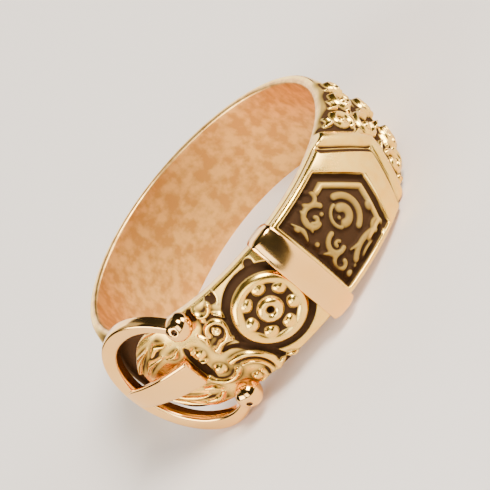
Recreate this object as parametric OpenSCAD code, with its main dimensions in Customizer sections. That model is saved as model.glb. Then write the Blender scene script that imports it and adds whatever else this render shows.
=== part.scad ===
// Belt ring: a gold finger ring in the form of a fastened belt with its buckle.
// The ring's axis is Z, +Z is the side towards the fingertip, and the origin is at the centre of
// the finger hole, half-way along its length. The front, with the flower, faces -Y.
// The ornament is laid out on the belt in millimetres: x runs along the belt from the front's
// middle towards the tip of its free end, and y runs across it towards the fingertip side.

/* [Finger hole] */
// Diameter of the finger hole
bore_d = 18.4; // [17.4:0.1:20.4]
// Cut along each edge of the finger hole
bore_edge = 0.15; // [0.05:0.05:0.25]

/* [Belt] */
// Width of the belt
belt_w = 6.6; // [6.4:0.1:7.2]
// Thickness of the plain band at the back, at mid width
band_t = 1; // [0.85:0.05:1.25]
// Thickness of the band at the front, under the free end
front_t = 1.45; // [1.35:0.05:1.55]
// How much lower the belt's outer face lies at its edges than at mid width
dome_drop = 0.6; // [0.4:0.05:0.7]
// Height of the free end above the band at the front
lap_t = 0.1; // [0.06:0.01:0.2]
// Height of the panel's border above its ground
rim_t = 0.3; // [0.25:0.05:0.4]
// Cut along the belt's outer edges
belt_edge = 0.12; // [0.05:0.01:0.2]

/* [Buckle] */
// Width of the frame's flat bar
frame_bar_w = 1; // [0.85:0.01:1.1]
// Thickness of the frame's bar, away from the belt
frame_bar_t = 0.85; // [0.75:0.01:0.95]
// Radius of the horseshoe-shaped frame, to the middle of the bar
frame_r = 4.3; // [4.2:0.05:4.35]
// Place of the frame's centre along the belt
frame_x = -9.95; // [-10.2:0.05:-9.9]
// Turn from the frame's crown to its upper end
upper_sweep = 139; // [134:1:140]
// Turn from the frame's crown to its lower end
lower_sweep = 130; // [125:1:130]
// Thickness of the tongue at its end
tongue_t = 0.32; // [0.28:0.01:0.45]
// Thickness of the tongue at its root
tongue_root_t = 0.7; // [0.6:0.01:0.8]
// Width of the tongue at its root
tongue_root_w = 2.1; // [1.8:0.05:2.3]
// Width of the tongue at its end
tongue_end_w = 1.45; // [1:0.05:1.6]

/* [Keeper] */
// Width of the keeper along the belt
keeper_w = 1.8; // [1.4:0.05:1.85]
// Wall of the keeper
keeper_t = 0.42; // [0.3:0.01:0.5]
// Thickness of the keeper's two sides, beside the belt's edges
keeper_side_t = 0.3; // [0.25:0.01:0.4]

/* [Fit] */
// Gap between pieces that lie against each other
gap = 0.05; // [0.04:0.01:0.08]

/* [Hidden] */

bore_r = bore_d / 2;
half_w = belt_w / 2;
dome_r = (half_w * half_w + dome_drop * dome_drop) / (2 * dome_drop);
// The band's outer face is round about a line set off from the ring's axis towards the front
band_r = bore_r + (front_t + band_t) / 2;
band_off = (front_t - band_t) / 2;
lap_r = bore_r + front_t + lap_t;
rim_r = lap_r + rim_t;
curve = $preview ? 64 : 120;
far = 2 * lap_r;
// Depth by which one layer is sunk into the layer below it
sink = 0.3;
// Height of a raised wire's middle above the face that carries it
lift = 0.1;
// The free end is a hair narrower than the band, so that their side faces don't coincide
lap_inset = 0.03;

// The keeper starts here along the belt, and the two halves of the free end meet under it
keeper_x = -0.15;
lap_end_x = 1.0;
// Outline of the free end's tip and of the sunk panel
tip_x = 10.35;
tip_upper_x = 7.6;
tip_lower_x = 8.8;
panel_start_x = 1.8;
panel_mid_x = 4.8;
panel_half_w = 2.95;
panel = [[panel_start_x, -panel_half_w], [6.9, -panel_half_w], [8.1, 0.1],
         [6, panel_half_w], [panel_start_x, panel_half_w]];
// Centre and radius of the free end's rounded start, inside the frame
lap_start_x = -9.55;
lap_start_r = 3.3;

// The flower in its ring
flower_x = -2.1;
flower_y = 0.15;
petals = 7;
petal_first = 22;
petal_ball = 0.6;
petal_sink = 0.24;
petal_circle = 1.42;
flower_ring_r = 2.1;
flower_wire = 0.5;
eye_r = 0.4;
eye_wire = 0.44;
eye_lift = 0.1;

// The buckle lies a little above the belt's middle
frame_y = 0.2;
tongue_y = 0.2;
tongue_root_x = -8.1;
// Centre of the tongue's round end, from the frame's centre towards its crown
tongue_reach = 3.25;

// Raised strokes on the free end, each an arc of round wire. Turns are counter-clockwise in
// degrees, with 0 towards the tip and 90 towards the fingertip side.
//   x, y, radius, from, sweep, wire
SCROLLS = [
    // scrollwork between the buckle and the flower
    [-6.05, -2.35, 1.60,  -20, 112, 0.44],
    [-5.35,  1.35, 0.60,  -60, 230, 0.38],
    [-7.15, -0.80, 0.95,  195, 130, 0.36],
    [-5.55,  0.05, 0.55,   20, 110, 0.32],
    [-5.10,  3.00, 0.55,  200, 140, 0.34],
    // inside the buckle, beside the tongue
    [-9.10,  2.05, 0.50,   20, 200, 0.40],
    [-11.0,  2.05, 0.55,   10, 190, 0.40],
    [-9.30, -1.95, 0.50,  170, 200, 0.38],
    [-11.1, -1.90, 0.50,  170, 200, 0.38],
    // the panel
    [ 4.90,  0.10, 0.82, -150, 280, 0.50],
    [ 4.90,  0.10, 1.85,  -38,  86, 0.44],
    [ 3.45,  1.50, 0.70,   20, 200, 0.38],
    [ 3.40, -0.60, 0.60,   80, 150, 0.38],
    [ 4.45, -3.75, 1.90,   62,  56, 0.40],
    [ 4.60,  2.40, 0.50,  150, 190, 0.34],
    [ 5.95, -2.20, 0.45,  -60, 200, 0.36],
    [ 2.70, -1.55, 0.45,   90, 180, 0.34]
];
// Raised beads on the free end
//   x, y, radius
BEADS = [
    [-7.15, -0.75, 0.40],
    [-6.02, -2.66, 0.37],
    [-7.25,  0.80, 0.36],
    [-6.20,  0.40, 0.28],
    [-5.40,  1.40, 0.30],
    [-9.10,  2.10, 0.32],
    [-9.30, -2.00, 0.32],
    [ 4.85,  0.05, 0.40],
    [ 2.50,  2.20, 0.32],
    [ 2.60,  0.55, 0.30],
    [ 2.55, -2.35, 0.34],
    [ 6.65, -1.10, 0.38],
    [ 5.95,  1.50, 0.30],
    [ 7.10, -0.15, 0.26]
];
// Leaf scrolls past the tip, on the band itself
//   x, y, radius, from, sweep, wire
LEAVES = [
    [10.4,  2.15, 0.70,  -70, 220, 0.50],
    [10.7, -2.05, 0.70, -150, 220, 0.50],
    [12.3,  0.45, 0.95,   30, 230, 0.52],
    [13.6,  2.10, 0.70,  -80, 200, 0.50],
    [13.9, -1.75, 0.70, -110, 200, 0.50]
];
// Beads past the tip
//   x, y, radius
SEEDS = [
    [9.05,  2.60, 0.34],
    [10.4,  2.15, 0.34],
    [10.7, -2.05, 0.34],
    [12.3,  0.45, 0.46],
    [13.6,  2.10, 0.36],
    [13.9, -1.75, 0.36],
    [15.6,  0.10, 0.40]
];

function turn(x) = x / lap_r * 180 / PI - 90;
// Radius of the belt's outer face at y, where it has the radius crest at mid width
function dome(crest, y) = crest - dome_r + sqrt(dome_r * dome_r - y * y);
// Radius of the band's own crest at x along the belt
function band_crest(x) = -band_off * sin(turn(x))
    + sqrt(band_r * band_r - pow(band_off * cos(turn(x)), 2));
// How far a flat circle of radius r, laid on the belt, lies below the belt's middle
function sag(r) = r * r / (lap_r + dome_r);

// Puts its children on the belt at x along and y across, where the outer face at mid width has
// the radius crest, with their +Z outwards
module on_belt(x, y, crest) {
    rotate([0, 0, turn(x)])
        translate([crest - dome_r, 0, 0])
            rotate([0, -asin(y / dome_r), 0])
                translate([dome_r, 0, 0])
                    rotate([90, 0, 90])
                        children();
}

// The belt's section on one side of the ring's axis: flat inside, domed outside, with its outer
// edges cut
module section(inner, crest, half, edge) {
    side_r = dome(crest, half);
    intersection() {
        translate([crest - dome_r, 0])
            circle(r = dome_r, $fn = 3 * curve);
        polygon([
            [inner, -half], [side_r - edge, -half], [side_r + edge, edge - half],
            [crest + 1, edge - half], [crest + 1, half - edge],
            [side_r + edge, half - edge], [side_r - edge, half], [inner, half]
        ]);
    }
}

// Turns a section round the ring's axis from x = from to x = to
module along_belt(from, to) {
    rotate([0, 0, turn(from)])
        rotate_extrude(angle = turn(to) - turn(from), $fn = 2 * curve)
            children();
}

// A straight-walled block over an outline drawn on the belt at x, standing from radius low up
module block_on_belt(x, low) {
    rotate([0, 0, turn(x)])
        translate([low, 0, 0])
            rotate([90, 0, 90])
                linear_extrude(far)
                    children();
}

module stroke(s, crest) {
    on_belt(s[0], s[1], crest)
        translate([0, 0, lift - sag(s[2])])
            rotate([0, 0, s[3]])
                rotate_extrude(angle = s[4], $fn = curve)
                    translate([s[2], 0])
                        circle(d = s[5], $fn = 24);
}

module ball(b, crest) {
    on_belt(b[0], b[1], crest)
        sphere(r = b[2], $fn = 32);
}

module band() {
    difference() {
        translate([0, -band_off, 0])
            rotate_extrude($fn = 3 * curve)
                section(bore_r - 2 * band_off, band_r, half_w, belt_edge);
        cylinder(r = bore_r, h = 2 * belt_w, center = true, $fn = 3 * curve);
        for (side = [0, 1])
            mirror([0, 0, side])
                translate([0, 0, half_w])
                    rotate_extrude($fn = 3 * curve)
                        polygon([
                            [bore_r - bore_edge, -bore_edge], [bore_r, -bore_edge],
                            [bore_r + bore_edge, 0], [bore_r + bore_edge, bore_edge],
                            [bore_r - bore_edge, bore_edge]
                        ]);
    }
}

module lap_section(crest) {
    section(band_r - dome_drop - sink, crest, half_w - lap_inset, belt_edge);
}

// The free end from the buckle to the keeper
module lap() {
    difference() {
        along_belt(lap_start_x - 1.2 * lap_start_r, lap_end_x)
            lap_section(lap_r);
        // its rounded start inside the frame
        block_on_belt(lap_start_x, bore_r + sink)
            difference() {
                translate([-2 * lap_start_r, -belt_w])
                    square([2 * lap_start_r, 2 * belt_w]);
                circle(r = lap_start_r, $fn = curve);
            }
    }
}

// The free end past the keeper, with its border, sunk panel and pointed tip
module tail() {
    difference() {
        along_belt(0, tip_x + 1)
            lap_section(rim_r);
        block_on_belt(tip_x, bore_r + sink)
            polygon([
                [0, 0], [2 * (tip_upper_x - tip_x), belt_w], [tip_x, belt_w],
                [tip_x, -belt_w], [2 * (tip_lower_x - tip_x), -belt_w]
            ]);
        intersection() {
            block_on_belt(panel_mid_x, bore_r)
                translate([-panel_mid_x, 0])
                    polygon(panel);
            along_belt(0, tip_x)
                difference() {
                    translate([bore_r, -half_w])
                        square([far - bore_r, belt_w]);
                    translate([lap_r - dome_r, 0])
                        circle(r = dome_r, $fn = 3 * curve);
                }
        }
    }
}

module flower() {
    on_belt(flower_x, flower_y, lap_r) {
        translate([0, 0, -sag(flower_ring_r)])
            rotate_extrude($fn = curve)
                translate([flower_ring_r, 0])
                    circle(d = flower_wire, $fn = 24);
        for (i = [0 : petals - 1])
            rotate([0, 0, petal_first + i * 360 / petals])
                translate([petal_circle, 0, -sag(petal_circle) - petal_sink])
                    sphere(r = petal_ball, $fn = 32);
        translate([0, 0, eye_lift])
            rotate_extrude($fn = curve)
                translate([eye_r, 0])
                    circle(d = eye_wire, $fn = 24);
    }
}

module strap() {
    color([0.86, 0.66, 0.36]) {
        union() {
            band();
            lap();
            tail();
            flower();
            for (s = SCROLLS)
                stroke(s, lap_r);
            for (b = BEADS)
                ball(b, lap_r);
            for (s = LEAVES)
                stroke(s, band_crest(s[0]));
            for (b = SEEDS)
                ball(b, band_crest(b[0]));
        }
    }
}

// The bar's corners are rounded by a circle this much wider than the bar, which leaves its two
// flat faces this half width
bar_round = 1.18;
bar_flat = sqrt(pow(bar_round * frame_bar_w, 2) - frame_bar_t * frame_bar_t) / 2;
// The frame lies in a flat plane. Its lower face comes nearest to the belt at its lower end and
// clears it there, which sets how far the middle of the bar is from the ring's axis
low_x = -(frame_r - bar_flat) * cos(lower_sweep);
low_y = (frame_r - bar_flat) * sin(lower_sweep) - frame_y;
frame_h = sqrt(pow(dome(lap_r, low_y) + gap, 2) - low_x * low_x) + frame_bar_t / 2;
// The frame ends in two round bosses, flat below, each with a dimple; the bar stops inside them
boss_r = 0.85;
boss_lift = 0.45;
dimple_r = 0.28;
boss_share = dome_r / (dome_r + gap + boss_lift);
bar_short = 6;

// A boss at the end that lies sweep degrees from the frame's crown
module boss(sweep) {
    reach = atan(-frame_r * cos(sweep) / frame_h) * PI / 180 * lap_r;
    on_belt(frame_x + reach, boss_share * (frame_y + frame_r * sin(sweep)), lap_r + gap)
        difference() {
            translate([0, 0, boss_lift])
                sphere(r = boss_r, $fn = 64);
            translate([0, 0, -boss_r])
                cylinder(r = 2 * boss_r, h = boss_r);
            translate([0, 0, boss_lift + boss_r])
                sphere(r = dimple_r, $fn = 32);
        }
}

module buckle_frame() {
    color([0.90, 0.71, 0.42]) {
        rotate([0, 0, turn(frame_x)])
            translate([frame_h, 0, frame_y])
                rotate([90, 0, 90])
                    rotate([0, 0, 180 - upper_sweep + bar_short])
                        rotate_extrude(angle = upper_sweep + lower_sweep - 2 * bar_short,
                                       $fn = curve)
                            translate([frame_r, 0])
                                intersection() {
                                    circle(d = bar_round * frame_bar_w, $fn = 64);
                                    square([frame_bar_w, frame_bar_t], center = true);
                                }
        boss(upper_sweep);
        boss(-lower_sweep);
    }
}

// The tongue's lower and upper faces are arcs about points set off from the ring's axis, through
// given radii at its root and where it rests on the frame's crown
root_turn = turn(tongue_root_x);
rest_turn = turn(frame_x) - atan(frame_r / frame_h);
// Direction in which the arcs' centres are set off
lean = turn(-20);
// The tongue's blank runs past its rest and its root, and is cut to its outline there
past_rest = rest_turn - 8;
past_root = 2.6;
crown_top_r = sqrt(pow(frame_h + frame_bar_t / 2, 2) + frame_r * frame_r);
function set_off(root, rest) = (rest * rest - root * root)
    / (2 * (rest * cos(rest_turn - lean) - root * cos(root_turn - lean)));
function arc_radius(root, rest) = sqrt(rest * rest + pow(set_off(root, rest), 2)
    - 2 * rest * set_off(root, rest) * cos(rest_turn - lean));

module arc_disc(root, rest) {
    rotate([0, 0, lean])
        translate([set_off(root, rest), 0])
            circle(r = arc_radius(root, rest), $fn = 4 * curve);
}

module tongue() {
    low_root = lap_r + gap;
    low_rest = crown_top_r + gap;
    reach = 1.4 * lap_r;
    color([0.93, 0.75, 0.48]) {
        intersection() {
            translate([0, 0, -half_w])
                linear_extrude(belt_w)
                    intersection() {
                        difference() {
                            arc_disc(low_root + tongue_root_t, low_rest + tongue_t);
                            arc_disc(low_root, low_rest);
                        }
                        polygon([
                            [0, 0],
                            [reach * cos(past_rest), reach * sin(past_rest)],
                            [reach * cos(root_turn), reach * sin(root_turn)]
                        ]);
                    }
            block_on_belt(frame_x, bore_r) {
                translate([0, tongue_y])
                    polygon([
                        [-tongue_reach, -tongue_end_w / 2], [past_root, -tongue_root_w / 2],
                        [past_root, tongue_root_w / 2], [-tongue_reach, tongue_end_w / 2]
                    ]);
                translate([-tongue_reach, tongue_y])
                    circle(d = tongue_end_w, $fn = 48);
            }
        }
    }
}

keeper_half = half_w + gap + keeper_side_t;
// The keeper's sides end this far outside the finger hole
keeper_foot = 0.3;
// The cut on the edges of the keeper's own opening
sharp = 0.01;

module keeper() {
    color([0.90, 0.72, 0.44]) {
        along_belt(keeper_x, keeper_x + keeper_w)
            difference() {
                section(bore_r + keeper_foot, rim_r + gap + keeper_t, keeper_half, belt_edge);
                section(bore_r, rim_r + gap, half_w + gap, sharp);
            }
    }
}

strap();
buckle_frame();
tongue();
keeper();
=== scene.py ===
# Belt ring: the finish of a gold buckle ring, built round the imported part.
# Lengths in the tables and functions are millimetres, as in the part's source, and MM turns them
# into metres. The ornament is laid out on the belt: x runs along it from the front's middle
# towards the tip, y across it towards the fingertip side.
import math

import bpy
import numpy as np
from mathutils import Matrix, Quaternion, Vector


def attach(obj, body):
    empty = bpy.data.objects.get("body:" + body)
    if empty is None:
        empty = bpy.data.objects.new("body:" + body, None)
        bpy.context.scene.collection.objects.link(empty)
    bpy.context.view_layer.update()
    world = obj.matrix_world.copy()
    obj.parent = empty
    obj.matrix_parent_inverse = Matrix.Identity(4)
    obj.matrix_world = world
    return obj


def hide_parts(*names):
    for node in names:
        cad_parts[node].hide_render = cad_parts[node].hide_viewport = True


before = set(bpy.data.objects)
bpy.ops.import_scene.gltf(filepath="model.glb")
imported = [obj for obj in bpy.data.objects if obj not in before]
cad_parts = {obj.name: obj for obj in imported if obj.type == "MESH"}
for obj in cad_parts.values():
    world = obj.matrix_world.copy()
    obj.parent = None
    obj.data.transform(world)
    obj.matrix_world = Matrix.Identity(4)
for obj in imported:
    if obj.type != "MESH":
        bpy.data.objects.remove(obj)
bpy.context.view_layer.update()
cad_nodes = dict(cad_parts)

MM = 0.001

# Sizes of the part, as in its source: the belt
BORE_R = 9.2
BELT_W = 6.6
HALF_W = BELT_W / 2
BAND_T = 1.0
FRONT_T = 1.45
LAP_T = 0.1
RIM_T = 0.3
DOME_DROP = 0.6
DOME_R = (HALF_W**2 + DOME_DROP**2) / (2 * DOME_DROP)
BAND_R = BORE_R + (FRONT_T + BAND_T) / 2
BAND_OFF = (FRONT_T - BAND_T) / 2
LAP_R = BORE_R + FRONT_T + LAP_T
RIM_R = LAP_R + RIM_T
GAP = 0.05
# the buckle frame, whose bar ends BAR_SHORT degrees before its bosses' middles
FRAME_X = -9.95
FRAME_Y = 0.2
FRAME_R = 4.3
FRAME_BAR_W = 1.0
FRAME_BAR_T = 0.85
UPPER_SWEEP = 139
LOWER_SWEEP = 130
BAR_SHORT = 6
# the outline of the free end
LAP_START_X = -9.55
LAP_START_R = 3.3
TIP_X = 10.35
TIP_UPPER_X = 7.6
TIP_LOWER_X = 8.8
LAP_HALF_W = HALF_W - 0.03
# Radius of the belt's rounded edges, and the same in the finger hole
BELT_EDGE = 0.16
BORE_EDGE = 0.2


def turn(x):
    """Angle round the ring's axis, in radians, of a place x along the belt."""
    return np.asarray(x) / LAP_R - math.pi / 2


def on_ring(x, y, r):
    """Points at x along the belt, height y and radius r, in metres."""
    a = turn(x)
    x, y, r = np.broadcast_arrays(a, y, r)
    return np.stack([r * np.cos(x), r * np.sin(x), y], -1) * MM


def dome(crest, y):
    """Radius of the belt's outer face at y, where it has the radius crest at mid width."""
    return crest - DOME_R + np.sqrt(DOME_R**2 - np.square(y))


def band_face(x, y):
    """Radius of the band's own outer face, which is round about a line set off to the front."""
    a = turn(x)
    return -BAND_OFF * np.sin(a) + np.sqrt(dome(BAND_R, y) ** 2 - (BAND_OFF * np.cos(a)) ** 2)


# Meshes


def mesh_piece(name, points, faces, node, material, attributes=None):
    """A smooth mesh that stands for a node of the part and rides on its one body."""
    mesh = bpy.data.meshes.new(name)
    mesh.from_pydata([tuple(p) for p in points], [], faces)
    mesh.update()
    mesh.shade_smooth()
    for key, values in (attributes or {}).items():
        layer = mesh.attributes.new(key, "FLOAT", "POINT")
        layer.data.foreach_set("value", np.asarray(values, np.float32).ravel())
    mesh.materials.append(material)
    piece = bpy.data.objects.new(name, mesh)
    bpy.context.scene.collection.objects.link(piece)
    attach(piece, "root")
    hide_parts(node)
    return piece


def grid_faces(rows, columns, close_rows=False, close_columns=False):
    """Quads between rows of points, in the order of a numbered grid."""
    faces = []
    for i in range(rows if close_rows else rows - 1):
        for j in range(columns if close_columns else columns - 1):
            a = i * columns + j
            b = i * columns + (j + 1) % columns
            c = (i + 1) % rows * columns + (j + 1) % columns
            d = (i + 1) % rows * columns + j
            faces.append((a, b, c, d))
    return faces


def tube_faces(rings, count):
    """Faces between closed rings of count points each, and one face over each end."""
    faces = grid_faces(rings, count, close_columns=True)
    faces.append(list(range(count))[::-1])
    faces.append(list(range((rings - 1) * count, rings * count)))
    return faces


def soft_square(angles, power):
    """Both coordinates, at the given angles, of a square of half width 1 with soft corners."""
    c, s = np.cos(angles), np.sin(angles)
    return np.sign(c) * np.abs(c) ** (2 / power), np.sign(s) * np.abs(s) ** (2 / power)


# Strokes of the ornament, as distances on a grid of belt places


def arc_line(cx, cy, r0, r1, start, sweep, count=40):
    """Points of an arc, or of a spiral where r0 and r1 differ; turns in degrees, anticlockwise."""
    t = np.linspace(0, 1, count)
    a = np.radians(start + sweep * t)
    r = r0 + (r1 - r0) * t
    return np.stack([cx + r * np.cos(a), cy + r * np.sin(a)], -1)


def curve_line(points, count=32):
    """Points of a smooth curve through the given places."""
    p = np.asarray(points, float)
    p = np.vstack([2 * p[0] - p[1], p, 2 * p[-1] - p[-2]])
    out = []
    per = max(2, count // (len(p) - 3))
    for i in range(1, len(p) - 2):
        for t in np.linspace(0, 1, per, endpoint=False):
            a, b, c, d = p[i - 1], p[i], p[i + 1], p[i + 2]
            out.append(
                0.5 * (2 * b + (c - a) * t + (2 * a - 5 * b + 4 * c - d) * t**2
                       + (3 * b - a - 3 * c + d) * t**3)
            )
    out.append(p[-2])
    return np.array(out)


class Relief:
    """Heights above the ground on a grid of belt places."""

    def __init__(self, x, y):
        self.x, self.y = np.broadcast_arrays(x, y)
        self.height = np.zeros(self.x.shape)
        self.cut = np.zeros(self.x.shape)

    def near(self, low, high, margin):
        """The grid's places in the box from low to high, widened by margin."""
        mask = (self.x > low[0] - margin) & (self.x < high[0] + margin)
        mask &= (self.y > low[1] - margin) & (self.y < high[1] + margin)
        return np.nonzero(mask)

    def stroke(self, line, width, height=0.28, taper=(1, 1), sunk=False):
        """A round-topped line; width is half its own, and taper its share at start and end."""
        line = np.asarray(line)
        where = self.near(line.min(0), line.max(0), width)
        if not len(where[0]):
            return
        px, py = self.x[where], self.y[where]
        best = np.full(px.shape, 9.0)
        a, b = line[:-1], line[1:]
        full = np.interp(np.linspace(0, 1, len(line)), [0, 0.5, 1], [taper[0], 1, taper[1]])
        for i in range(len(a)):
            d = b[i] - a[i]
            t = ((px - a[i, 0]) * d[0] + (py - a[i, 1]) * d[1]) / max(d @ d, 1e-9)
            t = np.clip(t, 0, 1)
            dist = np.hypot(px - a[i, 0] - t * d[0], py - a[i, 1] - t * d[1])
            share = full[i] + (full[i + 1] - full[i]) * t
            best = np.minimum(best, dist / (width * np.maximum(share, 0.05)) + (1 - share) * 0.25)
        self.lay(where, best, height, sunk)

    def blob(self, cx, cy, rx, ry=None, lean=0, *, height, sunk=False):
        """A round or oval boss with the radii rx and ry, turned by lean degrees."""
        ry = ry or rx
        where = self.near((cx, cy), (cx, cy), max(rx, ry))
        if not len(where[0]):
            return
        c, s = math.cos(math.radians(lean)), math.sin(math.radians(lean))
        dx, dy = self.x[where] - cx, self.y[where] - cy
        self.lay(where, np.hypot((dx * c + dy * s) / rx, (dy * c - dx * s) / ry), height, sunk)

    def ring(self, cx, cy, r, width, height, sunk=False):
        """A round-topped ring; width is half its own."""
        where = self.near((cx - r, cy - r), (cx + r, cy + r), width)
        d = np.abs(np.hypot(self.x[where] - cx, self.y[where] - cy) - r) / width
        self.lay(where, d, height, sunk)

    def lay(self, where, share, height, sunk):
        """Raises or cuts a round profile, where share is 0 in its middle and 1 at its edge."""
        top = height * np.clip(1 - share**2, 0, 1) ** 0.75
        if sunk:
            self.cut[where] = np.maximum(self.cut[where], top)
        else:
            self.height[where] = np.maximum(self.height[where], top)


# Strokes: centre x, centre y, first radius, last radius, start, sweep, half width
SCROLL_ARCS = [
    # between the buckle and the flower
    (-6.05, -2.35, 1.62, 1.60, -35, 132, 0.23),
    (-6.05, -2.40, 1.15, 1.05, -40, 120, 0.13),
    (-6.00, -2.62, 0.55, 0.50, 250, 120, 0.13),
    (-7.15, -0.80, 1.05, 1.00, 185, 135, 0.21),
    (-5.35, 1.35, 0.72, 0.55, -75, 250, 0.21),
    (-5.30, 1.35, 0.24, 0.12, 100, 300, 0.12),
    (-5.55, -0.35, 0.95, 0.85, 50, 90, 0.17),
    (-5.05, 3.05, 0.62, 0.52, 185, 150, 0.17),
    (-7.25, 0.75, 0.55, 0.50, 110, 150, 0.15),
    (-3.95, -3.70, 0.85, 0.80, 30, 110, 0.16),
    # the panel
    (4.85, 0.10, 0.46, 0.50, -125, 185, 0.38),
    (4.85, 0.10, 0.85, 0.70, 80, 130, 0.16),
    (4.80, 0.05, 1.22, 1.28, -75, 135, 0.30),
    (3.60, 1.45, 0.88, 0.40, 10, 250, 0.24),
    (3.60, 1.45, 0.30, 0.10, 190, 200, 0.18),
    (3.35, -0.60, 0.72, 0.45, 75, 200, 0.24),
    (3.30, -0.60, 0.22, 0.10, 0, 200, 0.16),
    (4.40, -3.75, 1.95, 1.85, 58, 64, 0.28),
    (4.40, -3.75, 1.35, 1.30, 62, 50, 0.20),
    (2.65, -1.50, 0.58, 0.22, 60, 280, 0.20),
    (5.90, -2.25, 0.58, 0.22, -70, 280, 0.22),
    (4.45, 2.45, 0.58, 0.30, 160, 240, 0.20),
]
# Curved strokes through places, each with its half width
SCROLL_CURVES = [
    # inside the buckle, above and below the tongue
    (((-12.6, 1.2), (-11.7, 2.0), (-10.4, 2.55)), 0.27),
    (((-11.9, 1.0), (-10.9, 1.6), (-9.7, 1.75)), 0.24),
    (((-10.3, 2.1), (-9.6, 2.5), (-8.9, 2.35)), 0.30),
    (((-9.4, 1.6), (-8.8, 1.5), (-8.3, 1.75)), 0.24),
    (((-12.5, -1.2), (-11.7, -1.9), (-10.5, -2.5)), 0.27),
    (((-11.6, -1.15), (-10.7, -1.7), (-9.6, -2.0)), 0.24),
    (((-10.1, -2.4), (-9.3, -2.6), (-8.6, -2.3)), 0.28),
    (((-9.2, -1.35), (-8.7, -1.6), (-8.4, -2.0)), 0.22),
    # beside the slot
    (((-6.45, 1.75), (-6.25, 1.35), (-6.4, 0.9)), 0.17),
    (((-4.7, 2.3), (-4.35, 1.9), (-4.4, 1.5)), 0.16),
    (((-6.25, 0.42), (-5.6, 0.62), (-4.8, 0.60)), 0.19),
    # leaves in the panel
    (((2.2, 0.9), (2.6, 1.6), (2.5, 2.5)), 0.21),
    (((2.9, 1.1), (3.2, 1.8), (3.5, 2.5)), 0.20),
    (((2.2, -0.1), (2.6, -0.6), (2.5, -1.1)), 0.19),
    (((3.6, -1.50), (4.4, -1.85), (5.3, -2.05)), 0.22),
]
# Beads: x, y, radius, height
BEADS = [
    (-7.15, -0.72, 0.42, 0.36),
    (-6.02, -2.66, 0.33, 0.32),
    (-7.30, 0.80, 0.38, 0.30),
    (-6.20, 0.42, 0.27, 0.28),
    (-5.30, 1.35, 0.20, 0.24),
    (-5.45, 2.35, 0.24, 0.24),
    (4.62, 0.22, 0.22, 0.22),
    (2.45, 1.95, 0.28, 0.28),
    (2.50, 0.45, 0.25, 0.24),
    (2.50, -2.40, 0.34, 0.30),
    (6.60, -1.10, 0.42, 0.32),
    (3.10, -2.40, 0.22, 0.22),
    (4.10, 1.25, 0.22, 0.24),
]
# Pits: x, y, radius along the belt, radius across it, depth
PITS = [
    (-5.95, 2.90, 0.34, 0.40, 0.30),
    (-4.15, 3.00, 0.34, 0.42, 0.30),
    (-0.95, 2.85, 0.34, 0.34, 0.20),
    # the slot that the tongue comes out of
    (-7.95, 0.20, 0.38, 1.45, 0.30),
]
# The dark line round the tip
TIP_LINE = [
    (7.70, 3.05), (8.98, 1.50), (10.08, 0.15), (10.05, -0.15), (9.35, -1.55), (8.72, -3.05),
]
# The dark line between the flower and the scrolls below it
LOWER_LINE = [(-6.10, 0.12), (-5.35, -0.10), (-4.62, -0.85), (-4.10, -1.80), (-3.75, -3.10)]
# The flower: its middle, and its petals' number, first turn, circle, radius outwards, radius
# sideways and height
FLOWER = (-2.1, 0.12)
PETALS = 7
PETAL_FIRST = 22
PETAL_CIRCLE = 1.45
PETAL_RX = 0.46
PETAL_RY = 0.50
PETAL_H = 0.36
# Rings round the flower's middle: radius, half width, height
FLOWER_RING_R = 2.1
FLOWER_RINGS = [
    (FLOWER_RING_R - 0.16, 0.40, 0.32),
    (0.50, 0.36, 0.40),
]
# The groove round them, and the pit in the middle
FLOWER_GROOVE = (FLOWER_RING_R + 0.50, 0.26, 0.28)
FLOWER_PIT_R = 0.22
FLOWER_PIT_DEPTH = 0.20
# The sunk panel's outline
PANEL = [(1.8, -2.95), (6.9, -2.95), (8.1, 0.1), (6.0, 2.95), (1.8, 2.95)]
# The raised border outside it: where it starts along the belt, and how wide its slope is
BORDER_START_X = 0.6
BORDER_SLOPE_W = 0.14
# The dark groove and the bright ridge inside it: distances in from the outline, half widths,
# depth and height
GROOVE_IN = 0.30
GROOVE_HALF_W = 0.26
GROOVE_DEPTH = 0.16
RIDGE_START_X = 4.6
RIDGE_IN = 0.80
RIDGE_HALF_W = 0.24
RIDGE_H = 0.28
# The plain strip that follows the tip, on the under layer
TIP_STRIP = [(8.45, 3.45), (11.23, 0.10), (9.55, -3.50)]
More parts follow.
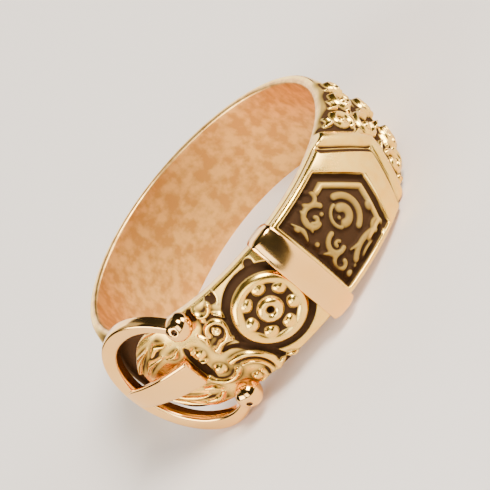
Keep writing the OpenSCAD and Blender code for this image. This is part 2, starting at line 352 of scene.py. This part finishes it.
# Strokes past the tip, on the under layer
LEAF_ARCS = [
    (11.15, 2.20, 0.72, 0.35, -85, 330, 0.26),
    (11.40, -2.10, 0.75, 0.35, 85, -330, 0.26),
    (12.35, 0.42, 0.98, 0.45, 10, 320, 0.27),
    (13.60, 2.10, 0.80, 0.35, 200, -330, 0.25),
    (13.90, -1.75, 0.80, 0.35, 100, 330, 0.25),
    (15.60, 0.10, 0.80, 0.30, 210, -330, 0.24),
    (15.55, 2.35, 0.60, 0.25, 210, -300, 0.22),
    (15.75, -2.30, 0.60, 0.25, 110, 300, 0.22),
]
LEAF_CURVES = [
    (((9.9, 3.05), (10.4, 2.85), (10.6, 3.15)), 0.22),
    (((10.6, 1.3), (11.1, 1.1), (11.3, 0.8)), 0.20),
    (((11.2, -0.9), (11.7, -0.75), (12.2, -0.9)), 0.22),
    (((10.4, -3.0), (10.7, -2.7), (10.9, -3.1)), 0.20),
    (((12.0, 2.9), (12.4, 2.6), (12.8, 2.95)), 0.22),
    (((12.0, 1.9), (12.3, 1.7), (12.7, 1.8)), 0.20),
    (((12.4, -2.9), (12.8, -2.6), (12.9, -2.0)), 0.22),
    (((12.3, -1.5), (12.6, -1.3), (13.0, -0.9)), 0.20),
    (((13.6, 0.9), (14.2, 0.6), (14.4, 0.0)), 0.23),
    (((13.4, -0.5), (13.9, -0.5), (14.5, -0.7)), 0.22),
    (((14.5, 3.0), (14.7, 2.4), (14.6, 1.6)), 0.22),
]
# Seeds in the leaves' eyes: x, y, radius
SEEDS = [
    (11.15, 2.20, 0.32),
    (11.40, -2.10, 0.32),
    (12.30, 0.45, 0.40),
    (13.60, 2.10, 0.32),
    (13.90, -1.75, 0.32),
    (15.60, 0.10, 0.34),
]


def panel_distance(x, y):
    """Distance inside the panel's outline; negative outside."""
    inside = np.full(np.broadcast(x, y).shape, 99.0)
    for (ax, ay), (bx, by) in zip(PANEL, PANEL[1:] + PANEL[:1], strict=True):
        length = math.hypot(bx - ax, by - ay)
        inside = np.minimum(inside, ((bx - ax) * (y - ay) - (by - ay) * (x - ax)) / length)
    return inside


def step(value, width):
    """Rises smoothly from 0 to 1 as value goes from 0 to width."""
    t = np.clip(value / width, 0, 1)
    return t * t * (3 - 2 * t)


def hump(value, middle, half_w):
    """1 where value is middle, falling in a round hump to 0 at half_w to either side."""
    return np.clip(1 - ((value - middle) / half_w) ** 2, 0, 1)


def panel_ridge(x, inside):
    """The bright ridge that follows the panel's outline round the tip."""
    return hump(inside, RIDGE_IN, RIDGE_HALF_W) * step(x - RIDGE_START_X, 0.6)


def edge_round(distance, radius):
    """How far a rounded edge has dropped at a distance in from it."""
    d = np.clip(distance, 0, radius)
    return radius - np.sqrt(radius**2 - (radius - d) ** 2)


def smooth_grid(h):
    """Softens the heights by their neighbours, once each way."""
    p = np.pad(h, 1, mode="edge")
    h = (p[:-2] + 2 * p[1:-1] + p[2:]) / 4
    return (h[:, :-2] + 2 * h[:, 1:-1] + h[:, 2:]) / 4


def blur_grid(h, reach, passes=3):
    """A wide soft blur, by repeated running means over 2 * reach + 1 cells each way."""
    for _ in range(passes):
        for _ in range(2):
            p = np.pad(h, ((reach + 1, reach), (0, 0)), mode="edge").cumsum(0)
            h = ((p[2 * reach + 1:] - p[:-2 * reach - 1]) / (2 * reach + 1)).T
    return h


# A place this far below the mean height round it has the full dark finish
DARK_DROP = 0.10


def dark_places(height, reach):
    """Share of dark finish: full in the ground close to raised work, none on its tops."""
    around = blur_grid(np.maximum(height, 0), reach)
    return np.clip((around - height) / DARK_DROP, 0, 1)


def lap_left(y):
    """Where the free end's round start lies along the belt, at y."""
    reach = np.sqrt(LAP_START_R**2 - np.square(y))
    return LAP_START_X - LAP_R * np.arcsin(reach / LAP_R)


# Roundness of the tip's point
TIP_ROUND = 0.12


def lap_right(y):
    """Where the free end's tip lies along the belt, at y."""
    bend = np.sqrt(np.square(y) + TIP_ROUND**2) - TIP_ROUND
    slope = np.where(y > 0, TIP_X - TIP_UPPER_X, TIP_X - TIP_LOWER_X) / HALF_W
    return TIP_X - bend * slope


def edge_spacing(low, high, pitch, edge, fine):
    """Places from low to high, closer together within edge of both ends."""
    near = edge * (1 - np.cos(np.linspace(0, math.pi / 2, fine, endpoint=False)))
    middle = np.linspace(low + edge, high - edge, int((high - low - 2 * edge) / pitch) + 1)
    return np.concatenate([low + near, middle, (high - near)[::-1]])


def lap_relief(x, y):
    """Height of the free end's face over its ground, below 0 in its dark lines and pits."""
    relief = Relief(x, y)
    for cx, cy, r0, r1, start, sweep, width in SCROLL_ARCS:
        relief.stroke(arc_line(cx, cy, r0, r1, start, sweep), width)
    for places, width in SCROLL_CURVES:
        relief.stroke(curve_line(places), width, taper=(0.5, 0.35))
    for cx, cy, r, height in BEADS:
        relief.blob(cx, cy, r, height=height)
    for cx, cy, rx, ry, depth in PITS:
        relief.blob(cx, cy, rx, ry, height=depth, sunk=True)
    fx, fy = FLOWER
    for r, width, height in FLOWER_RINGS:
        relief.ring(fx, fy, r, width, height)
    relief.ring(fx, fy, *FLOWER_GROOVE, sunk=True)
    for i in range(PETALS):
        a = math.radians(PETAL_FIRST + i * 360 / PETALS)
        px, py = fx + PETAL_CIRCLE * math.cos(a), fy + PETAL_CIRCLE * math.sin(a)
        relief.blob(px, py, PETAL_RX, PETAL_RY, math.degrees(a), height=PETAL_H)
    relief.blob(fx, fy, FLOWER_PIT_R, height=FLOWER_PIT_DEPTH, sunk=True)
    relief.stroke(TIP_LINE, 0.26, 0.36, sunk=True)
    relief.stroke(curve_line(LOWER_LINE), 0.24, 0.24, taper=(0.5, 0.8), sunk=True)
    # the panel's groove and ridge, and the border round it
    inside = panel_distance(x, y)
    groove = GROOVE_DEPTH * hump(inside, GROOVE_IN, GROOVE_HALF_W)
    relief.cut = np.maximum(relief.cut, groove)
    relief.height = np.maximum(relief.height, RIDGE_H * panel_ridge(x, inside))
    rim = step(x - BORDER_START_X, 0.1) * (1 - step(inside, BORDER_SLOPE_W))
    return np.maximum(relief.height * (1 - rim), RIM_T * rim) - relief.cut


# Depths of the loops of points down the free end's walls, which are also their shares of the dark
# colour: painted shade, darkest down at the walls' foot beside the band. The last loop lies in the
# band, whatever its depth.
WALL_DEPTHS = (0.10, 0.24, 0.62)
LAP_END_ROUND = 0.2
LAP_FLOOR_SINK = 0.08


def build_lap(material):
    """The belt's free end as a closed mesh: face, walls and a hidden floor inside the band."""
    v = edge_spacing(-LAP_HALF_W, LAP_HALF_W, pitch=0.052, edge=0.2, fine=5)
    u = edge_spacing(0, 1, pitch=0.0021, edge=0.008, fine=5)
    y = np.broadcast_to(v[None, :], (len(u), len(v)))
    left, right = lap_left(y), lap_right(y)
    x = left + u[:, None] * (right - left)
    height = smooth_grid(lap_relief(x, y))
    side = LAP_HALF_W - np.abs(y)
    # distance in from the slanting ends, roughly square to them
    ends = np.minimum((x - left) / 1.1, (right - x) * 0.9)
    r = dome(LAP_R, y) + height - edge_round(side, BELT_EDGE) - edge_round(ends, LAP_END_ROUND)
    patina_and_shade = dark_places(height, reach=4)
    # the panel is darker all over, and its ground darkest
    inside = panel_distance(x, y)
    bright = np.maximum(0.52 * step(height - 0.06, 0.2), panel_ridge(x, inside))
    patina_and_shade = np.maximum(patina_and_shade, step(inside - 0.1, 0.1) * (0.85 - 0.62 * bright))
    points = list(on_ring(x, y, r).reshape(-1, 3))
    rows, columns = x.shape
    faces = grid_faces(rows, columns)
    # walls from the outline down into the band
    outline = [(i, 0) for i in range(rows)]
    outline += [(rows - 1, j) for j in range(1, columns)]
    outline += [(i, columns - 1) for i in range(rows - 2, -1, -1)]
    outline += [(0, j) for j in range(columns - 2, 0, -1)]
    n = len(outline)
    ox, oy, edge_r = (np.array([grid[i, j] for i, j in outline]) for grid in (x, y, r))
    loops = [[i * columns + j for i, j in outline]]
    values = patina_and_shade.ravel()
    for depth in WALL_DEPTHS:
        start = len(points)
        low = edge_r - depth
        if depth == WALL_DEPTHS[-1]:
            low = band_face(ox, oy) - LAP_FLOOR_SINK
        points.extend(on_ring(ox, oy, low))
        loops.append(list(range(start, start + n)))
        # the walls get painted shade, darker the deeper the loop
        values = np.append(values, np.full(n, depth))
    for upper, lower in zip(loops[:-1], loops[1:], strict=True):
        faces += [(upper[(k + 1) % n], upper[k], lower[k], lower[(k + 1) % n]) for k in range(n)]
    floor = loops[-1]
    # the hidden floor: strips across the belt, and the two ends
    for i in range(rows - 1):
        other = rows + columns - 2 + (rows - 1 - i)
        faces.append((floor[i + 1], floor[i], floor[other % n], floor[(other - 1) % n]))
    faces.append([floor[k] for k in range(rows - 1, rows + columns - 1)][::-1])
    faces.append([floor[k % n] for k in range(rows + columns - 2 + rows - 1, n + 1)][::-1])
    return mesh_piece("strap_free_end", points, faces, "strap", material,
                      {"patina_and_shade": values})


# The band's points along the belt: a coarse stretch under the free end, a fine one with the
# leaves, and the plain back, which ends where the first began
BAND_START_X = -17.0
LEAVES_START_X = 8.0
LEAVES_END_X = 17.8
# Where the leaves, and the dark finish round them, begin to fade into the plain back
LEAVES_FADE_X = 16.6
LEAVES_DARK_FADE_X = 16.3
# How far the band is sunk under the free end
COVERED_SINK = 0.4
# The painted shade on the band under the buckle, where it runs beneath the frame: where it starts
# and ends, over what length it fades in, and its full share
BUCKLE_SHADE_X = -19.2
BUCKLE_SHADE_END_X = -9.0
BUCKLE_SHADE_FADE = 4.6
BUCKLE_SHADE_SHARE = 0.8


def build_band(material):
    """The belt's under layer: the whole ring with its finger hole and the leaves past the tip."""
    v = edge_spacing(-HALF_W, HALF_W, pitch=0.06, edge=0.2, fine=5)
    whole = 2 * math.pi * LAP_R
    x = np.concatenate([
        np.arange(BAND_START_X, LEAVES_START_X, 0.25),
        np.arange(LEAVES_START_X, LEAVES_END_X, 0.055),
        np.arange(LEAVES_END_X, whole + BAND_START_X, 0.45),
    ])
    gx, gy = np.meshgrid(x, v, indexing="ij")
    relief = Relief(gx, gy)
    for cx, cy, r0, r1, start, sweep, width in LEAF_ARCS:
        relief.stroke(arc_line(cx, cy, r0, r1, start, sweep), width, 0.40)
    for places, width in LEAF_CURVES:
        relief.stroke(curve_line(places), width, 0.36, taper=(0.4, 0.6))
    for cx, cy, r in SEEDS:
        relief.blob(cx, cy, r, height=0.44)
    relief.stroke(TIP_STRIP, 0.58, 0.34)
    height = smooth_grid(relief.height)
    height = height * (1 - step(gx - LEAVES_FADE_X, 1.0))
    r = band_face(gx, gy) + height - edge_round(HALF_W - np.abs(gy), BELT_EDGE)
    # under the free end the face lies deeper, clear of the free end's sunk places
    covered = step(gx - lap_left(gy) - 0.3, 0.4) * step(lap_right(gy) - 0.3 - gx, 0.4)
    r = r - COVERED_SINK * covered * step(HALF_W - np.abs(gy) - 0.1, 0.15)
    fine = (x > LEAVES_START_X) & (x < LEAVES_END_X - 0.3)
    patina_and_shade = np.zeros(height.shape)
    patina_and_shade[fine] = dark_places(height[fine], reach=6)
    patina_and_shade *= 1 - step(gx - LEAVES_DARK_FADE_X, 1.0)
    # painted shade on the stretch under the buckle, in the patina's dark colour
    place = np.where(gx > whole / 2, gx - whole, gx)
    under = BUCKLE_SHADE_SHARE * step(place - BUCKLE_SHADE_X, BUCKLE_SHADE_FADE)
    patina_and_shade = np.maximum(patina_and_shade, under * (1 - step(place - BUCKLE_SHADE_END_X, 1.0)))
    # the section's inner side: rounded edges and the straight wall of the finger hole
    bend = np.linspace(0, math.pi / 2, 6)
    low_y = HALF_W - BORE_EDGE + BORE_EDGE * np.cos(bend)
    low_r = BORE_R + BORE_EDGE - BORE_EDGE * np.sin(bend)
    inner_y = np.concatenate([low_y, np.linspace(2.6, -2.6, 5), -low_y[::-1]])
    inner_r = np.concatenate([low_r, np.full(5, BORE_R), low_r[::-1]])
    rows = len(x)
    outer = on_ring(gx, gy, r)
    inner = on_ring(x[:, None], inner_y[None, :], inner_r[None, :])
    points = np.concatenate([outer, inner], 1)
    columns = points.shape[1]
    faces = grid_faces(rows, columns, close_rows=True, close_columns=True)
    flat = np.zeros((rows, len(inner_y)))
    values = {
        "patina_and_shade": np.concatenate([patina_and_shade, flat], 1),
        "inside": np.concatenate([np.zeros(patina_and_shade.shape), flat + 1], 1),
    }
    return mesh_piece("strap_band", points.reshape(-1, 3), faces, "strap", material,
                      values)


def tangents(line):
    """Unit tangents along a line of points."""
    d = np.gradient(line, axis=0)
    return d / np.linalg.norm(d, axis=1)[:, None]


# Rings of points over each rounded end of a swept bar
CAP_RINGS = 6


def swept(line, outward, section, widths):
    """Points and faces of a section swept along a line, with its ends rounded off. section is a
    list of (side, out) offsets in metres, and widths holds the factor of side for each place."""
    tangent = tangents(line)
    side = np.cross(tangent, outward)
    side /= np.linalg.norm(side, axis=1)[:, None]
    out = np.cross(side, tangent)
    reach = np.abs(section).max() * 0.5
    bends = [math.pi / 2 * k / (CAP_RINGS + 1) for k in range(1, CAP_RINGS + 1)]
    # each ring: its centre, the place along the line that it takes its directions from, its size
    rings = [(line[0] - tangent[0] * reach * math.sin(a), 0, math.cos(a)) for a in bends[::-1]]
    rings += [(p, i, 1.0) for i, p in enumerate(line)]
    rings += [(line[-1] + tangent[-1] * reach * math.sin(a), -1, math.cos(a)) for a in bends]
    points = [
        centre + (side[i] * s * widths[i] + out[i] * o) * size
        for centre, i, size in rings for s, o in section
    ]
    return points, tube_faces(len(rings), len(section))


def tangent_frame(x):
    """Outward, along and across directions of the belt at x."""
    a = float(turn(x))
    outward = np.array([math.cos(a), math.sin(a), 0])
    along = np.array([-math.sin(a), math.cos(a), 0])
    return outward, along, np.array([0.0, 0.0, 1.0])


# The bar's corners are rounded by a circle this much wider than the bar, which leaves its two
# faces flat over twice BAR_FLAT
BAR_ROUND = 1.18
BAR_FLAT = math.sqrt((BAR_ROUND * FRAME_BAR_W) ** 2 - FRAME_BAR_T**2) / 2
LOW_X = -(FRAME_R - BAR_FLAT) * math.cos(math.radians(LOWER_SWEEP))
LOW_Y = (FRAME_R - BAR_FLAT) * math.sin(math.radians(LOWER_SWEEP)) - FRAME_Y
# Distance of the bar's middle plane from the ring's axis, where its lower end clears the belt
FRAME_H = math.sqrt(float(dome(LAP_R, LOW_Y) + GAP) ** 2 - LOW_X**2) + FRAME_BAR_T / 2
# The bosses: balls whose middles stand BOSS_LIFT above the belt, flattened a little on top by the
# factor and the powers, and dimpled from BOSS_TOP degrees up
BOSS_R = 0.85
BOSS_LIFT = 0.45
BOSS_SHARE = DOME_R / (DOME_R + GAP + BOSS_LIFT)
BOSS_TOP = 81
BOSS_HIGH = 0.97
BOSS_HIGH_POWER = 0.85
BOSS_WIDE_POWER = 0.8
DIMPLE_DEPTH = 0.16


def frame_line():
    """Middle of the frame's bar, from its upper to its lower end, and its turn from the crown."""
    o, t, z = tangent_frame(FRAME_X)
    sweep = np.linspace(UPPER_SWEEP - BAR_SHORT, BAR_SHORT - LOWER_SWEEP, 150)
    turns = np.radians(sweep)[:, None]
    line = o * FRAME_H + z * FRAME_Y + FRAME_R * (z * np.sin(turns) - t * np.cos(turns))
    return line * MM, sweep


def lathe(profile, centre, axis, along, count):
    """Points and faces of a turned form, closed at its ends. profile is (radius, height) in
    metres."""
    across = np.cross(axis, along)
    points = []
    for r, h in profile:
        for k in range(count):
            a = 2 * math.pi * k / count
            points.append(centre + axis * h + (along * math.cos(a) + across * math.sin(a)) * r)
    return points, tube_faces(len(profile), count)


def boss(sweep):
    """Points, faces and dark shares of the round boss at one end of the frame."""
    a = math.radians(sweep)
    x = FRAME_X + math.atan(-FRAME_R * math.cos(a) / FRAME_H) * LAP_R
    y = BOSS_SHARE * (FRAME_Y + FRAME_R * math.sin(a))
    o, t, z = tangent_frame(x)
    lean = math.asin(y / DOME_R)
    normal = o * math.cos(lean) + z * math.sin(lean)
    base = (o * (LAP_R - DOME_R) + normal * (DOME_R + GAP)) * MM
    profile = []
    low = -math.asin(BOSS_LIFT / BOSS_R)
    ball_rows, dimple_rows = 26, 10
    for a in np.linspace(low, math.radians(BOSS_TOP), ball_rows):
        rise = math.sin(a) if a < 0 else BOSS_HIGH * math.sin(a) ** BOSS_HIGH_POWER
        profile.append((BOSS_R * math.cos(a) ** BOSS_WIDE_POWER, BOSS_LIFT + BOSS_R * rise))
    rim_r, rim_h = profile[-1]
    for k in range(1, dimple_rows + 1):
        a = math.pi * 0.5 * k / dimple_rows
        profile.append((rim_r * math.cos(a) + 0.01, rim_h - DIMPLE_DEPTH * math.sin(a)))
    count = 48
    points, faces = lathe([(r * MM, h * MM) for r, h in profile], base, normal, t, count)
    dark = np.repeat([0.0] * (ball_rows + 1) + [1.0] * (dimple_rows - 1), count)
    return points, faces, dark


def build_frame(material):
    """The horseshoe bar with a boss at each end."""
    line, sweep = frame_line()
    outs = np.broadcast_to(tangent_frame(FRAME_X)[0], line.shape)
    # the bar narrows towards its ends
    narrow = 1 - 0.32 * step(np.abs(sweep) - 75, 50)
    side, out = soft_square(np.linspace(0, 2 * math.pi, 40, endpoint=False), 4.5)
    section = np.stack([side * FRAME_BAR_W / 2, out * FRAME_BAR_T / 2], -1) * MM
    points, faces = swept(line, outs, section, narrow)
    dark = np.zeros(len(points))
    for end in (UPPER_SWEEP, -LOWER_SWEEP):
        more, rounds, shade = boss(end)
        faces.extend([[i + len(points) for i in face] for face in rounds])
        points.extend(more)
        dark = np.append(dark, shade)
    return mesh_piece("buckle_frame_polished", points, faces, "buckle_frame",
                      material, {"patina_and_shade": dark})


TONGUE_ROOT_X = -8.1
TONGUE_Y = 0.2
TONGUE_T = 0.32
TONGUE_ROOT_T = 0.7
TONGUE_ROOT_W = 2.02
TONGUE_END_W = 1.45
# How far the tongue's end reaches past the frame's centre, and the roundness of its root's edge
TONGUE_REACH = 3.975
TONGUE_EDGE = 0.14
# Mean radius of the tongue's course, for lengths along it
TONGUE_MEAN_R = 11.4
# Where the tongue rests on the arch, and the direction in which its arcs' centres are offset
REST_TURN = float(turn(FRAME_X)) - math.atan(FRAME_R / FRAME_H)
LEAN = float(turn(-20))
CROWN_TOP_R = math.hypot(FRAME_H + FRAME_BAR_T / 2, FRAME_R)


def tongue_arc(root, rest):
    """Centre offset and radius of the arc through both radii, as in the part's source."""
    root_turn = float(turn(TONGUE_ROOT_X))
    off = (rest**2 - root**2) / (
        2 * (rest * math.cos(REST_TURN - LEAN) - root * math.cos(root_turn - LEAN)))
    return off, math.sqrt(rest**2 + off**2 - 2 * rest * off * math.cos(REST_TURN - LEAN))


def arc_at(arc, a):
    """Radius from the ring's axis of such an arc at the angle a."""
    off, radius = arc
    across = off * np.sin(a - LEAN)
    return off * np.cos(a - LEAN) + np.sqrt(radius**2 - across**2)


def build_tongue(material):
    """The curved, tapering prong from its square root to its round end."""
    low = tongue_arc(LAP_R + GAP, CROWN_TOP_R + GAP)
    high = tongue_arc(LAP_R + GAP + TONGUE_ROOT_T, CROWN_TOP_R + GAP + TONGUE_T)
    root = float(turn(TONGUE_ROOT_X))
    end = float(turn(FRAME_X)) - math.asin(TONGUE_REACH / CROWN_TOP_R)
    count = 70
    # stations crowd towards both ends, whose edges are rounded
    t = (1 - np.cos(np.linspace(0, math.pi, count))) / 2
    angles = root + (end - root) * t
    length = abs(end - root) * TONGUE_MEAN_R
    plan = TONGUE_END_W / 2
    side, out = soft_square(np.linspace(0, 2 * math.pi, 40, endpoint=False) + 0.04, 5.0)
    points = []
    for share, a in zip(t, angles, strict=True):
        bottom, top = float(arc_at(low, a)), float(arc_at(high, a))
        width = TONGUE_ROOT_W + (TONGUE_END_W - TONGUE_ROOT_W) * share
        near_end = (1 - share) * length
        shrink = float(edge_round(np.array(share * length), TONGUE_EDGE)) + 0.02
        half_t = (top - bottom) / 2 - shrink
        half_w = width / 2 - shrink
        # the round end in plan, and its rounded edge
        if near_end < plan:
            half_w = plan * math.sqrt(max(1 - (1 - near_end / plan) ** 2, 0.0025))
            half_t *= max(0.25, min(1, (near_end / 0.16) ** 0.5))
        r = (top + bottom) / 2 + out * half_t
        y = TONGUE_Y + side * half_w
        points.extend(np.stack([r * math.cos(a), r * math.sin(a), y], -1) * MM)
    faces = tube_faces(count, len(side))
    return mesh_piece("tongue_polished", points, faces, "tongue", material)


KEEPER_X = -0.15
KEEPER_W = 1.8
KEEPER_T = 0.42
KEEPER_SIDE_T = 0.3
KEEPER_START_R = BORE_R + 0.45
# Radius of the middle line's corners, how far below the dome's edge they start, and where in from
# the side the dome takes over
KEEPER_CORNER = 0.28
KEEPER_CORNER_DROP = 0.15
KEEPER_DOME_IN = 0.34
# How much lower the outer face lies at its two edges than in its middle
KEEPER_CROWN = 0.17


def build_keeper(material):
    """A strip bent round the belt: its middle line in the (radius, y) plane, swept along x."""
    inner_half = HALF_W + GAP
    middle_crest = RIM_R + GAP + KEEPER_T / 2
    half = inner_half + KEEPER_SIDE_T / 2
    shoulder = float(dome(middle_crest, inner_half)) - 0.12
    corner = shoulder - KEEPER_CORNER_DROP
    line = [(KEEPER_START_R, half), ((KEEPER_START_R + shoulder) / 2, half), (corner, half)]
    for a in np.linspace(0, 90, 7)[1:-1]:
        a = math.radians(a)
        line.append((corner + KEEPER_CORNER * math.sin(a),
                     half - KEEPER_CORNER * (1 - math.cos(a))))
    for y in np.linspace(half - KEEPER_DOME_IN, 0, 14):
        line.append((float(dome(middle_crest, y)), y))
    line += [(r, -y) for r, y in line[-2::-1]]
    line = np.array(line)
    d = tangents(line)
    normal = np.stack([-d[:, 1], d[:, 0]], -1)
    thick = np.interp(np.abs(line[:, 1]), [0, 2.6, half], [KEEPER_T, KEEPER_T, KEEPER_SIDE_T])
    side, rise = soft_square(np.linspace(0, 2 * math.pi, 36, endpoint=False) + 0.05, 6)
    along = KEEPER_X + KEEPER_W / 2 + side * (KEEPER_W / 2 - 0.01)
    out = -rise
    # the outer face is a little round from edge to edge
    crown = np.where(out > 0, KEEPER_CROWN * ((along - KEEPER_X) / KEEPER_W * 2 - 1) ** 2, 0)
    points = []
    for (r, y), (nr, ny), t in zip(line, normal, thick, strict=True):
        off = out * t / 2 - crown
        points.extend(on_ring(along, y + ny * off, r + nr * off))
    faces = tube_faces(len(line), len(side))
    return mesh_piece("keeper_polished", points, faces, "keeper", material)


# Materials


def node_tree(name):
    """A new material, its node tree and its shader."""
    material = bpy.data.materials.new(name)
    material.use_nodes = True
    tree = material.node_tree
    return material, tree, tree.nodes["Principled BSDF"]


def mix(tree, factor, low, high):
    """A colour between low and high, which are colours or sockets, by the socket factor."""
    node = tree.nodes.new("ShaderNodeMix")
    node.data_type = "RGBA"
    tree.links.new(factor, node.inputs["Factor"])
    for socket, value in ((node.inputs["A"], low), (node.inputs["B"], high)):
        if isinstance(value, tuple):
            socket.default_value = (*value, 1)
        else:
            tree.links.new(value, socket)
    return node.outputs["Result"]


def remap(tree, value, low, high, to_low=0.0, to_high=1.0):
    """The socket value, from low..high to to_low..to_high and clamped there."""
    node = tree.nodes.new("ShaderNodeMapRange")
    for key, number in (("From Min", low), ("From Max", high), ("To Min", to_low),
                        ("To Max", to_high)):
        node.inputs[key].default_value = number
    tree.links.new(value, node.inputs["Value"])
    return node.outputs["Result"]


def noise(tree, scale, detail):
    """Cloudy values from 0 to 1 that stay fixed to the object."""
    node = tree.nodes.new("ShaderNodeTexNoise")
    node.inputs["Scale"].default_value = scale
    node.inputs["Detail"].default_value = detail
    place = tree.nodes.new("ShaderNodeTexCoord")
    tree.links.new(place.outputs["Object"], node.inputs["Vector"])
    return node.outputs["Fac"]


def attribute(tree, name):
    """The values that the mesh holds for each point under that name."""
    node = tree.nodes.new("ShaderNodeAttribute")
    node.attribute_name = name
    return node.outputs["Fac"]


# Colour of the dark patina in the recesses, which also serves as painted shade under the buckle
# and down the free end's walls, and the two tints of each gold
DARK_PATINA_AND_SHADE = (0.045, 0.022, 0.010)
POLISHED_TINTS = (1.0, 0.53, 0.135), (1.0, 0.58, 0.18)
CHASED_TINTS = (1.0, 0.57, 0.09), (1.0, 0.65, 0.15)
BORE_TINTS = (0.66, 0.34, 0.085), (0.92, 0.55, 0.165)


def polished_gold():
    """Plain gold, worn a little more and less in clouds, with dark dimples."""
    material, tree, shader = node_tree("polished_gold")
    shader.inputs["Metallic"].default_value = 1.0
    cloud = noise(tree, 420, 4)
    tint = mix(tree, remap(tree, cloud, 0.3, 0.7), *POLISHED_TINTS)
    dark = attribute(tree, "patina_and_shade")
    tree.links.new(mix(tree, dark, tint, DARK_PATINA_AND_SHADE), shader.inputs["Base Color"])
    tree.links.new(remap(tree, cloud, 0.3, 0.7, 0.09, 0.17), shader.inputs["Roughness"])
    return material


def chased_gold():
    """Cast gold: bright on the raised work, dark with patina in its recesses and with painted
    shade under the buckle and down the free end's walls, mottled orange in the bore.
    """
    material, tree, shader = node_tree("chased_gold")
    shader.inputs["Specular IOR Level"].default_value = 0.0
    cloud = noise(tree, 1500, 5)
    bright = mix(tree, remap(tree, cloud, 0.35, 0.65), *CHASED_TINTS)
    bore = mix(tree, remap(tree, cloud, 0.40, 0.62), *BORE_TINTS)
    inside = attribute(tree, "inside")
    metal = mix(tree, inside, bright, bore)
    # patina and painted shade alike darken the base colour here and make it dull
    dark = remap(tree, attribute(tree, "patina_and_shade"), 0.05, 0.75)
    tree.links.new(mix(tree, dark, metal, DARK_PATINA_AND_SHADE), shader.inputs["Base Color"])
    rough = tree.nodes.new("ShaderNodeMath")
    rough.operation = "MAXIMUM"
    tree.links.new(remap(tree, dark, 0, 1, 1.0, 0.0), shader.inputs["Metallic"])
    tree.links.new(remap(tree, dark, 0, 1, 0.22, 0.75), rough.inputs[0])
    tree.links.new(remap(tree, inside, 0, 1, 0.0, 0.38), rough.inputs[1])
    tree.links.new(rough.outputs["Value"], shader.inputs["Roughness"])
    return material


chased = chased_gold()
polished = polished_gold()
build_band(chased)
build_lap(chased)
build_frame(polished)
build_tongue(polished)
build_keeper(polished)


# Stage


# The floor's colour, and how far it lies below the ring, in metres
FLOOR_COLOUR = (0.85, 0.745, 0.64, 1)
FLOOR_GAP = 0.00001


def rest_plane():
    """Normal and height of the plane that the ring rests on, lying on its side: the tilt at
    which the ring's middle lies lowest above it, found in ever finer steps."""
    points = np.concatenate([
        np.array([v.co for v in o.data.vertices], float).reshape(-1, 3) for o in cad_nodes.values()
    ])
    points = points[points[:, 2] < points[:, 2].min() + 0.001]
    best, span = np.zeros(2), 0.05
    while span > 1e-5:
        steps = np.linspace(-span, span, 9)
        tries = [(best[0] + a, best[1] + b) for a in steps for b in steps]
        rises = [-(points @ np.array([a, b, 1.0])).min() / math.hypot(a, b, 1) for a, b in tries]
        best, span = np.array(tries[int(np.argmin(rises))]), span / 3
    normal = np.array([best[0], best[1], 1.0])
    normal /= np.linalg.norm(normal)
    return normal, float((points @ normal).min())


def build_floor():
    """The plain pale floor under the ring."""
    material, _, shader = node_tree("pale_floor")
    shader.inputs["Base Color"].default_value = FLOOR_COLOUR
    shader.inputs["Roughness"].default_value = 0.75
    mesh = bpy.data.meshes.new("floor")
    mesh.from_pydata([(-2, -2, 0), (2, -2, 0), (2, 2, 0), (-2, 2, 0)], [], [(0, 1, 2, 3)])
    mesh.materials.append(material)
    floor = bpy.data.objects.new("floor", mesh)
    bpy.context.scene.collection.objects.link(floor)
    normal, height = rest_plane()
    floor.rotation_mode = "QUATERNION"
    floor.rotation_quaternion = Vector((0, 0, 1)).rotation_difference(Vector(normal))
    floor.location = Vector(normal) * (height - FLOOR_GAP)


# Soft lights that face the ring: name, place, size, power
LIGHTS = [
    ("key", (0.26, -0.26, 0.42), (0.24, 0.20), 6.6),
    ("right_side", (0.42, -0.06, 0.14), (0.24, 0.16), 1.9),
    ("left_side", (-0.40, -0.13, 0.12), (0.34, 0.22), 2.6),
    ("front_left", (-0.18, -0.38, 0.14), (0.22, 0.28), 0.9),
    ("back", (-0.12, 0.44, 0.20), (0.56, 0.34), 1.8),
    ("above", (-0.14, 0.24, 0.42), (0.50, 0.34), 0.40),
]


def build_light(name, place, size, power):
    """A rectangular light that faces the ring's middle."""
    light = bpy.data.lights.new(name, "AREA")
    light.shape = "RECTANGLE"
    light.size, light.size_y = size
    light.energy = power
    lamp = bpy.data.objects.new(name, light)
    bpy.context.scene.collection.objects.link(lamp)
    lamp.location = place
    lamp.rotation_euler = (-Vector(place)).to_track_quat("-Z", "Y").to_euler()


def build_camera():
    """The photograph's angle: 21.5 degrees above the ring's plane, turned so that the ring's axis
    points up to the left as it does there."""
    elevation, roll, distance, span = math.radians(21.5), math.radians(50), 0.5, 0.0290
    data = bpy.data.cameras.new("camera")
    data.sensor_width = 36
    data.lens = 36 * distance / span
    data.clip_start = 0.01
    camera = bpy.data.objects.new("camera", data)
    bpy.context.scene.collection.objects.link(camera)
    aim = Vector((-0.0002, -0.0002, -0.0002))
    back = Vector((0, -math.cos(elevation), math.sin(elevation)))
    camera.location = aim + back * distance
    look = (-back).to_track_quat("-Z", "Y")
    camera.rotation_mode = "QUATERNION"
    camera.rotation_quaternion = look @ Quaternion((0, 0, 1), -roll)
    bpy.context.scene.camera = camera


build_floor()
build_camera()
for row in LIGHTS:
    build_light(*row)
world = bpy.data.worlds.new("studio")
world.use_nodes = True
world.node_tree.nodes["Background"].inputs["Color"].default_value = (0.05, 0.05, 0.05, 1)
world.node_tree.nodes["Background"].inputs["Strength"].default_value = 0.5
bpy.context.scene.world = world
